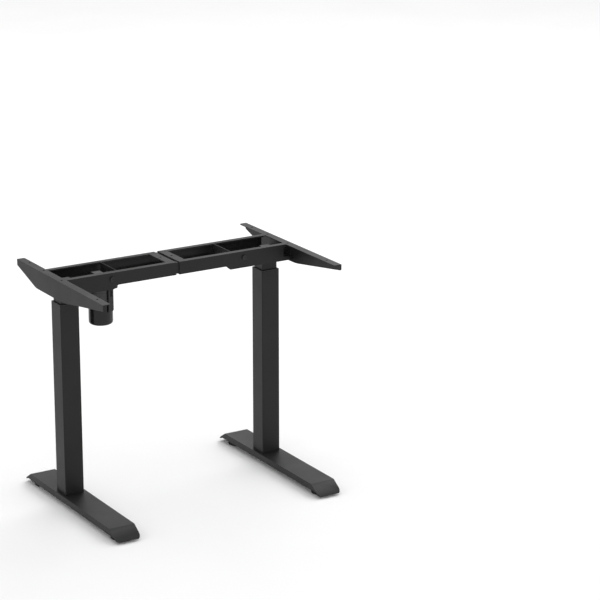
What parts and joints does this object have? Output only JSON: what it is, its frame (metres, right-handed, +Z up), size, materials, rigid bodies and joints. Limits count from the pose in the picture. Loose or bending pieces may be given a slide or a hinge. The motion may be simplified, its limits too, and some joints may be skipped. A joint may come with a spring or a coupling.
{
  "type": "height adjustable desk frame",
  "caption": "Two-column electric lifting desk frame with T feet, telescoping square legs, sliding top rails, side brackets and one motor under the left end.",
  "frame": {"origin": "on the floor, at the middle of the footprint of the whole frame", "axes": "+X from the motor column to the plain column, -Y towards the user, +Z up"},
  "size_m": [0.8046, 0.6194, 0.73],
  "materials": {
    "powder_coat": "fine satin black powder coat on pressed steel",
    "motor_coat": "smooth semi-gloss black paint on the motor can",
    "black_plastic": "moulded black plastic",
    "black_rubber": "dull black rubber",
    "zinc_steel": "zinc plated and ground steel",
    "black_screw": "black oxide steel",
    "black_casting": "black painted die-casting",
    "bronze": "machined bronze"
  },
  "bodies": {
    "left_base": {"left_foot": "powder_coat", "left_base_plate": "zinc_steel", "left_outer_tube": "powder_coat", "left_guide_collar": "black_plastic", "left_nut_tube": "zinc_steel", "left_lift_nut": "bronze"},
    "right_base": {"right_foot": "powder_coat", "right_base_plate": "zinc_steel", "right_outer_tube": "powder_coat", "right_guide_collar": "black_plastic", "right_nut_tube": "zinc_steel", "right_lift_nut": "bronze"},
    "left_front_glide": {"left_front_glide": "black_rubber"},
    "left_rear_glide": {"left_rear_glide": "black_rubber"},
    "right_front_glide": {"right_front_glide": "black_rubber"},
    "right_rear_glide": {"right_rear_glide": "black_rubber"},
    "left_head": {"left_inner_tube": "powder_coat", "left_slide_shoe": "black_plastic", "left_screw_bearing": "zinc_steel", "left_gearbox_case": "black_casting", "left_shaft_bush": "bronze", "left_head_saddle": "powder_coat", "left_front_rail": "powder_coat", "left_rear_rail": "powder_coat", "left_end_plate": "powder_coat", "left_partition": "powder_coat", "left_side_bracket": "powder_coat", "left_front_lock_bolt": "black_screw", "left_rear_lock_bolt": "black_screw", "front_slide_rail": "powder_coat", "rear_slide_rail": "powder_coat", "motor_can": "motor_coat", "motor_bell": "black_casting", "motor_magnets": "black_screw", "motor_gearcase": "black_casting", "motor_plug_housing": "black_plastic"},
    "right_head": {"right_inner_tube": "powder_coat", "right_slide_shoe": "black_plastic", "right_screw_bearing": "zinc_steel", "right_gearbox_case": "black_casting", "right_shaft_bush": "bronze", "right_head_saddle": "powder_coat", "right_front_rail": "powder_coat", "right_rear_rail": "powder_coat", "right_end_plate": "powder_coat", "right_partition": "powder_coat", "right_side_bracket": "powder_coat", "right_front_lock_bolt": "black_screw", "right_rear_lock_bolt": "black_screw"},
    "left_screw": {"left_lead_screw": "zinc_steel", "left_screw_gear": "zinc_steel"},
    "right_screw": {"right_lead_screw": "zinc_steel", "right_screw_gear": "zinc_steel"},
    "drive_rod": {"drive_rod": "zinc_steel", "left_shaft_gear": "zinc_steel", "worm_wheel": "bronze"},
    "drive_tube": {"drive_tube": "zinc_steel", "right_shaft_gear": "zinc_steel"},
    "motor_rotor": {"motor_rotor": "zinc_steel"}
  },
  "joints": [
    {"name": "lift", "type": "slide", "parent": "left_base", "child": "left_head", "axis": [0, 0, 1], "range_m": [0, 0.45]},
    {"name": "width", "type": "slide", "parent": "left_head", "child": "right_head", "axis": [1, 0, 0], "range_m": [-0.01, 0.3]},
    {"name": "right_lift", "type": "slide", "parent": "right_head", "child": "right_base", "axis": [0, 0, -1], "range_m": [0, 0.45]},
    {"name": "left_screw_turn", "type": "hinge", "parent": "left_head", "child": "left_screw", "pos_m": [-0.348, 0.07225, 0.6], "axis": [0, 0, 1], "range_deg": [-30, 13530]},
    {"name": "right_screw_turn", "type": "hinge", "parent": "right_head", "child": "right_screw", "pos_m": [0.348, 0.07225, 0.6], "axis": [0, 0, 1], "range_deg": [-13530, 30]},
    {"name": "drive_rod_turn", "type": "hinge", "parent": "left_head", "child": "drive_rod", "pos_m": [0, 0.07225, 0.7004], "axis": [1, 0, 0], "range_deg": [-30, 13530]},
    {"name": "drive_tube_turn", "type": "hinge", "parent": "right_head", "child": "drive_tube", "pos_m": [0.2, 0.07225, 0.7004], "axis": [1, 0, 0], "range_deg": [-30, 13530]},
    {"name": "motor_turn", "type": "hinge", "parent": "left_head", "child": "motor_rotor", "pos_m": [-0.241, 0.05025, 0.65], "axis": [0, 0, 1], "range_deg": [-450, 202950]},
    {"name": "left_front_level", "type": "slide", "parent": "left_base", "child": "left_front_glide", "axis": [0, 0, -1], "range_m": [-0.003, 0.008]},
    {"name": "left_rear_level", "type": "slide", "parent": "left_base", "child": "left_rear_glide", "axis": [0, 0, -1], "range_m": [-0.003, 0.008]},
    {"name": "right_front_level", "type": "slide", "parent": "right_base", "child": "right_front_glide", "axis": [0, 0, -1], "range_m": [-0.003, 0.008]},
    {"name": "right_rear_level", "type": "slide", "parent": "right_base", "child": "right_rear_glide", "axis": [0, 0, -1], "range_m": [-0.003, 0.008]}
  ],
  "couplings": [
    {"joint": "right_lift", "follows": "lift", "ratio": 1},
    {"joint": "left_screw_turn", "follows": "lift", "rad_per_m": 523.6},
    {"joint": "right_screw_turn", "follows": "lift", "rad_per_m": -523.6},
    {"joint": "drive_rod_turn", "follows": "lift", "rad_per_m": 523.6},
    {"joint": "drive_tube_turn", "follows": "lift", "rad_per_m": 523.6},
    {"joint": "motor_turn", "follows": "lift", "rad_per_m": 7854}
  ]
}
